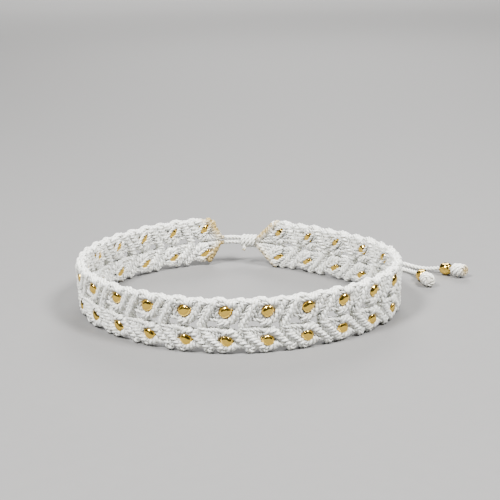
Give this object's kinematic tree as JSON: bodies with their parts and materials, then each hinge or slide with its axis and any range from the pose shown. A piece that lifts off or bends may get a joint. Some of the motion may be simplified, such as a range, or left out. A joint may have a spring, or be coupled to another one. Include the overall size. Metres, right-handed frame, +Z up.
{
  "type": "macrame bracelet",
  "caption": "Knotted white cord wrist band with two rows of gold beads, closed by pull cords through a sliding knot.",
  "frame": {"origin": "middle of the wrist loop, at the surface that the band's lower edge stands on", "axes": "+Z up along the band's height, +X towards the pull cords' ends, -Y towards the front of the loop, with the closure at +Y"},
  "size_m": [0.077, 0.0539, 0.0103],
  "materials": {
    "white_cord": "tightly twisted three-ply synthetic cord, slightly glossy, tan where the cut ends were melted",
    "gold_bead": "polished gold plate"
  },
  "bodies": {
    "root": {"band": "white_cord", "upper_beads": "gold_bead", "lower_beads": "gold_bead", "sliding_knot": "white_cord", "long_pull_cord": "white_cord", "long_cord_bead": "gold_bead", "long_cord_knot": "white_cord", "short_pull_cord": "white_cord", "short_cord_bead": "gold_bead", "short_cord_knot": "white_cord"}
  },
  "joints": []
}
